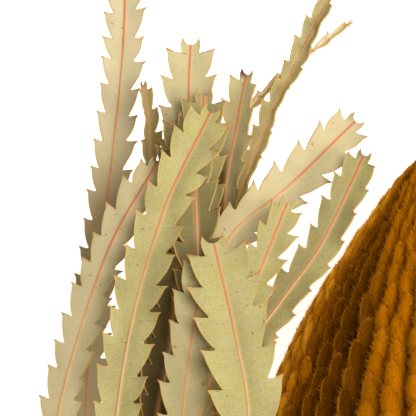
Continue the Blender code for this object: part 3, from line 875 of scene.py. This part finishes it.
def build_stem(material):
    """Two bevelled curves and a cushion under each leaf, melted together and wrinkled."""
    begin()
    parts = []
    for route, radii in TWIGS.values():
        bpy.ops.curve.primitive_nurbs_path_add()
        curve = bpy.context.object.data
        curve.splines.clear()
        curve.dimensions = "3D"
        curve.bevel_depth = MM
        curve.bevel_resolution = 6
        curve.use_fill_caps = True
        spline = curve.splines.new("POLY")
        spline.points.add(STEM_STEPS)
        for step in range(STEM_STEPS + 1):
            centre, _, _, _, radius = twig_frame(route, radii, step / STEM_STEPS)
            spline.points[step].co = (*(centre * MM), 1.0)
            spline.points[step].radius = radius
        bpy.ops.object.convert(target="MESH")
        parts.append(bpy.context.object)
    for leaf in LEAVES.values():
        route = leaf_route(*leaf[:3], leaf[-1])
        base = Vector(route[0]).lerp(Vector(route[1]), 0.1)
        bpy.ops.mesh.primitive_ico_sphere_add(
            subdivisions=2, radius=LEAF_CUSHION * MM, location=base * MM)
        parts.append(bpy.context.object)
    begin()
    for item in parts:
        item.select_set(True)
    bpy.context.view_layer.objects.active = parts[0]
    bpy.ops.object.join()
    bpy.ops.object.transform_apply(location=True, rotation=True, scale=True)
    stem = bpy.context.object
    stem.name = "woody_stem"
    melt = stem.modifiers.new("melt", "REMESH")
    melt.mode = "VOXEL"
    melt.voxel_size = STEM_GRAIN * MM
    melt.use_smooth_shade = True
    bpy.ops.object.modifier_apply(modifier=melt.name)
    soften = stem.modifiers.new("soften", "SMOOTH")
    soften.iterations = 4
    bpy.ops.object.modifier_apply(modifier=soften.name)
    stem.data.update()
    moves = []
    for vertex in stem.data.vertices:
        place = vertex.co / MM
        wrinkle = noise.noise(Vector((
            place.x * WRINKLE_ACROSS, place.y * WRINKLE_ALONG, place.z * WRINKLE_ACROSS)))
        knot = noise.noise(Vector([part * KNOT_SCALE for part in place]))
        swell = STEM_WRINKLES * wrinkle + STEM_KNOTS * knot - STEM_SHRINK
        moves.append(vertex.normal * swell * MM)
    for vertex, move in zip(stem.data.vertices, moves):
        vertex.co += move
    bpy.ops.object.shade_smooth()
    stem.data.materials.clear()
    stem.data.materials.append(material)
    declare(stem, "bark", "stem")


class LeafSurface:
    """A folded strap along a smooth route; a place on it is a length along and a width across."""

    def __init__(self, route, roll, fold):
        self.fold = radians(fold)
        self.centres, self.length = even_stations(route, STATION_SPACING)
        count = len(self.centres)
        self.tangents = []
        for index in range(count):
            ahead = self.centres[min(index + 1, count - 1)]
            behind = self.centres[max(index - 1, 0)]
            self.tangents.append((ahead - behind).normalized())
        facing = UP - self.tangents[-1] * UP.dot(self.tangents[-1])
        facing = Matrix.Rotation(radians(roll), 3, self.tangents[-1]) @ facing.normalized()
        self.facings = [facing] * count
        for index in range(count - 2, -1, -1):
            tangent = self.tangents[index]
            facing = self.facings[index + 1]
            self.facings[index] = (facing - tangent * facing.dot(tangent)).normalized()

    def frame(self, along):
        """The rib's place, direction and facing at a length along it."""
        place = min(max(along / self.length, 0.0), 1.0) * (len(self.centres) - 1)
        index = min(int(place), len(self.centres) - 2)
        share = place - index
        centre = self.centres[index].lerp(self.centres[index + 1], share)
        tangent = self.tangents[index].lerp(self.tangents[index + 1], share).normalized()
        facing = self.facings[index].lerp(self.facings[index + 1], share).normalized()
        beyond = max(0.0, along - self.length)
        return centre + tangent * beyond, tangent, facing

    def point(self, along, across, lift):
        """A place on the blade, lifted along its own normal."""
        centre, tangent, facing = self.frame(along)
        side = tangent.cross(facing).normalized()
        rise = sin(self.fold) * (hypot(across, FOLD_ROUNDING) - FOLD_ROUNDING)
        slope = sin(self.fold) * across / hypot(across, FOLD_ROUNDING)
        normal = (facing - slope * side).normalized()
        return centre + side * across * cos(self.fold) + facing * rise + normal * lift


def tooth_places(blade, width):
    """Where the teeth begin along the blade, and its end; the last few are shorter."""
    pitch = PITCH_BASE + PITCH_PER_WIDTH * width
    whole = max(2, round(blade / pitch - sum(SMALL_END_TEETH)))
    shares = [1.0] * whole + list(SMALL_END_TEETH)
    places = [0.0]
    for share in shares:
        places.append(places[-1] + blade * share / sum(shares))
    return places


def tooth_depth(along, blade, width):
    """How deep the notches are: deeper near the tip."""
    near_tip = exp(-(blade - along) / (TIP_TEETH_PER_WIDTH * width))
    return (DEPTH_BASE + DEPTH_PER_WIDTH * width) * (1.0 + TIP_DEEPENING * near_tip)


def half_width(along, blade, width):
    """Half the blade's width at a length along it: a long wedge, then a strap with round shoulders."""
    grown = min(1.0, along / blade / 0.5)
    grown = grown * grown * (3 - 2 * grown)
    taper = TIP_TAPER + TAPER_PER_WIDTH * max(0.0, BROAD_LEAF - width)
    shoulder = 1.0 - taper * exp(-(blade - along) / (SHOULDER_PER_WIDTH * width))
    return (0.34 + 0.66 * grown) * width / 2 * shoulder


def leaf_route(twig, place, turn, points):
    """From the surface of its twig, outwards and forwards, then through the points."""
    route, radii = TWIGS[twig]
    centre, along, side, lift, radius = twig_frame(route, radii, place)
    angle = radians(turn)
    outward = cos(angle) * side + sin(angle) * lift
    base = centre + outward * (radius + LEAF_GAP)
    elbow = base + outward * OUTWARD_RUN
    return [tuple(base), tuple(elbow), tuple(elbow + outward + along * FORWARD_RUN)] + points


def blade_rows(starts, width, draw):
    """Rows across a toothed blade: place of the rib, local pitch, and each side's tooth there.

    A side's tooth is how far it reaches from notch to point, how far its edge leads the rib, and
    whether the row is at the point.
    """
    teeth = len(starts) - 1
    sways = [
        {side: draw.uniform(-TOOTH_SWAY, TOOTH_SWAY) for side in (-1, 1)} for _ in range(teeth + 1)
    ]
    sways[0] = sways[teeth] = {-1: 0.0, 1: 0.0}
    rows = []
    for tooth in range(teeth):
        pitch = starts[tooth + 1] - starts[tooth]
        shape = {
            side: (draw.uniform(*TOOTH_SIZES), draw.uniform(*TOOTH_HOLLOW)) for side in (-1, 1)
        }
        hook = (TOOTH_HOOK + TIP_HOOK * 0.5 ** (teeth - 1 - tooth)) * min(1.0, width / BROAD_LEAF)
        for share in TOOTH_ROWS:
            edges = {}
            for side in (-1, 1):
                size, hollow = shape[side]
                if share <= TOOTH_PEAK:
                    climb = share / TOOTH_PEAK
                    eased = climb * climb * (1.0 + SINUS_ROUNDING) / (climb + SINUS_ROUNDING)
                    reach = eased**hollow
                    lead = hook * climb**LEAD_CLIMB
                else:
                    fall = (1.0 - share) / (1.0 - TOOTH_PEAK)
                    reach = fall**REACH_FALL
                    lead = hook * fall**LEAD_FALL
                sway = sways[tooth][side] * (1 - share) + sways[tooth + 1][side] * share
                edges[side] = (reach * size, lead + sway, 1.0 if share == TOOTH_PEAK else 0.0)
            rows.append((starts[tooth] + share * pitch, pitch, edges))
            if tooth == teeth - 1 and share == TOOTH_PEAK:
                return rows


def lay_out_blade(blade, width, cuts, draw):
    """Every place on the blade as along, across, distance to the margin, and share of a spine."""
    starts = tooth_places(blade, width)
    places = []

    def add_row(rib, rim, lead, bend, spine):
        """A row from its place on the rib, and its reach and lead on the left and the right."""
        for column in COLUMNS:
            out = abs(column)
            along = rib + lead[column >= 0] * out**bend
            sharp = spine * max(0.0, (out - SPINE_FROM) / (1.0 - SPINE_FROM))
            reach = rim[column >= 0]
            places.append((along, column * reach, reach * (1 - out), sharp))

    for row in range(PETIOLE_ROWS):
        half = (PETIOLE_HALF_WIDTH, PETIOLE_HALF_WIDTH)
        add_row(PETIOLE_LENGTH * row / PETIOLE_ROWS, half, (0.0, 0.0), 1.0, 0.0)
    for rib, pitch, edges in blade_rows(starts, width, draw):
        depth = tooth_depth(rib, blade, width)
        depth = depth * min(1.0, rib / starts[1]) * min(1.0, pitch / starts[1])
        widest = half_width(rib, blade, width)
        rims = []
        leads = []
        for side, cut in zip((-1, 1), cuts):
            reach, lead, point = edges[side]
            low = max(PETIOLE_HALF_WIDTH, widest - depth * cut)
            rims.append(low + (widest + SPINE_LENGTH * point - low) * reach)
            leads.append(lead * pitch * cut)
        add_row(PETIOLE_LENGTH + rib, rims, leads, TOOTH_BEND, point)
    rib_end = PETIOLE_LENGTH + blade + (HORN_REACH - RIB_STOP) * width
    start = places[-1 - len(COLUMNS) // 2][0]
    spread = HORN_SPREAD * width / 2
    for share, rim, place, sharp in HORN_ROWS:
        here = start + (rib_end - start) * share
        lead = rib_end + place * width - here
        add_row(here, (rim * spread, rim * spread), (lead, lead), HORN_BEND, sharp)
    return places


def right_of_rib(across):
    """-1 on a blade's left half, 1 on its right half, even between."""
    return max(-1.0, min(1.0, across / HALF_BLEND))


def leaf_tones(name, places, length):
    """How dark each place is: the painted shade on its half, lifted towards the tip, more painted shade
    towards the foot, and a brown dead end.
    """
    left, right = LEAF_SHADE.get(name, (0.0, 0.0))
    fade_from, fade_to, fade = SHADE_LIFT.get(name, USUAL_SHADE_LIFT)
    tones = []
    for along, across, _, _ in places:
        share = along / length
        paler = fade * min(1.0, max(0.0, share - fade_from) / (fade_to - fade_from))
        dead = DEAD_END * max(0.0, (share - DEAD_FROM) / (1.0 - DEAD_FROM)) ** 2
        half = 0.5 + 0.5 * right_of_rib(across)
        tone = left * (1 - half) + right * half
        tones.append(min(1.0, tone * (1 - paler) + dead + FOOT_SHADE * (1 - share)))
    return tones


def leaf_burns(name, places, length, width):
    """How burnt each place is: from the tip's horn on, and more on the left."""
    first = length - HORN_REACH * width
    slope = BURNT_TIPS.get(name, 0.0) / (RIB_STOP * width)
    burns = []
    for along, across, _, _ in places:
        scorch = min(1.0, max(0.0, (along - first) * slope))
        burns.append((0.6 - 0.4 * right_of_rib(across)) * scorch)
    return burns


def build_leaf(name, leaf, material):
    """A grid primitive laid out as the toothed blade, then given its thickness."""
    twig, place, turn, width, roll, fold, points = leaf
    draw = Random(name)
    surface = LeafSurface(leaf_route(twig, place, turn, points), roll, fold)
    blade = surface.length - PETIOLE_LENGTH - HORN_REACH * width
    places = lay_out_blade(blade, width, SHALLOW_TEETH.get(name, (1.0, 1.0)), draw)
    begin()
    bpy.ops.mesh.primitive_grid_add(
        x_subdivisions=len(COLUMNS) - 1, y_subdivisions=len(places) // len(COLUMNS) - 1, size=2 * MM)
    item = bpy.context.object
    item.name = name + "_blade"
    mesh = item.data
    phase = draw.uniform(0.0, 2 * pi)
    pitch = PITCH_BASE + PITCH_PER_WIDTH * width
    wave_along, wave_across = RIPPLE_WAVE
    wobble_along, wobble_across = WOBBLE_SCALE
    coordinates = []
    for along, across, _, _ in places:
        ripple = sin(along * wave_along + phase + across * wave_across) * (across / width) ** 2 * RIPPLE
        flutter = sin(along * 2 * pi / pitch - phase) * (across / width) ** 2 * FLUTTER
        spot = Vector((along * wobble_along, across * wobble_across, phase * 3))
        wobble = noise.noise(spot) * WOBBLE
        calm = min(1.0, along / CALM_LENGTH)
        point = surface.point(along, across, (ripple + flutter + wobble) * calm)
        point.z = max(point.z, GROUND_CLEARANCE + BLADE_THICKNESS / 2)
        coordinates.extend(point * MM)
    mesh.vertices.foreach_set("co", coordinates)
    alongs, acrosses, edges, spines = zip(*places)
    store(
        mesh,
        along=alongs,
        share=[along / surface.length for along in alongs],
        across=[abs(across) for across in acrosses],
        edge=edges,
        spine=spines,
        tone=leaf_tones(name, places, surface.length),
        pale=[PALE_AND_LIT.get(name, 0.0)] * len(places),
        burnt=leaf_burns(name, places, surface.length, width),
    )
    group = item.vertex_groups.new(name="thickness")
    thin = BLADE_THICKNESS / RIB_THICKNESS
    for index, (along, across, _, _) in enumerate(places):
        thinned = 1.0 - RIB_THINNING * along / surface.length
        rib = exp(-(across / RIB_HALF_WIDTH) ** 2) * thinned
        stalk = max(0.0, 1.0 - along / PETIOLE_LENGTH)
        group.add([index], min(1.0, max(thin, rib, stalk)), "REPLACE")
    solid = item.modifiers.new("thickness", "SOLIDIFY")
    solid.thickness = RIB_THICKNESS * MM
    solid.offset = 0.0
    solid.vertex_group = group.name
    bpy.ops.object.modifier_apply(modifier=solid.name)
    item.vertex_groups.clear()
    bpy.ops.object.shade_smooth_by_angle(angle=SHARP_ANGLE)
    mesh.materials.append(material)
    declare(item, "leaf", name)


def build_studio():
    """Floor, lamps, air and camera."""
    begin()
    bpy.ops.mesh.primitive_plane_add(size=FLOOR_SIZE, location=(0.0, 0.0, 0.0))
    floor = bpy.context.object
    floor.name = "pale_floor"
    white = Finish(
        "white_floor", Roughness=0.9, Base_Color=(0.9, 0.9, 0.9, 1.0), Emission_Color=WHITE,
        Emission_Strength=0.8)
    floor.data.materials.append(white.material)
    for name, (place, size, power) in LAMPS.items():
        bpy.ops.object.light_add(type="AREA", location=place)
        lamp = bpy.context.object
        lamp.name = name
        lamp.data.size = size
        lamp.data.energy = power
        aim = Vector(LAMP_TARGET) - Vector(place)
        lamp.rotation_euler = aim.to_track_quat("-Z", "Y").to_euler()
    world = bpy.data.worlds.new("studio_air")
    world.use_nodes = True
    air = world.node_tree.nodes["Background"]
    air.inputs["Color"].default_value = WHITE
    air.inputs["Strength"].default_value = AIR_STRENGTH
    bpy.context.scene.world = world
    bpy.context.scene.view_settings.view_transform = "Standard"
    bpy.ops.object.camera_add(location=(VIEW_CENTRE[0] * MM, VIEW_CENTRE[1] * MM, VIEW_HEIGHT * MM))
    camera = bpy.context.object
    camera.name = "photo_camera"
    camera.data.sensor_width = SENSOR
    camera.data.lens = SENSOR * FRAME_DISTANCE / FRAME_WIDTH
    bpy.context.scene.camera = camera


build_florets(floret_finish(), hair_finish())
build_core(core_finish())
build_stem(bark_finish())
blade_finish = leaf_finish()
for leaf_name, leaf_values in LEAVES.items():
    build_leaf(leaf_name, leaf_values, blade_finish)
build_studio()
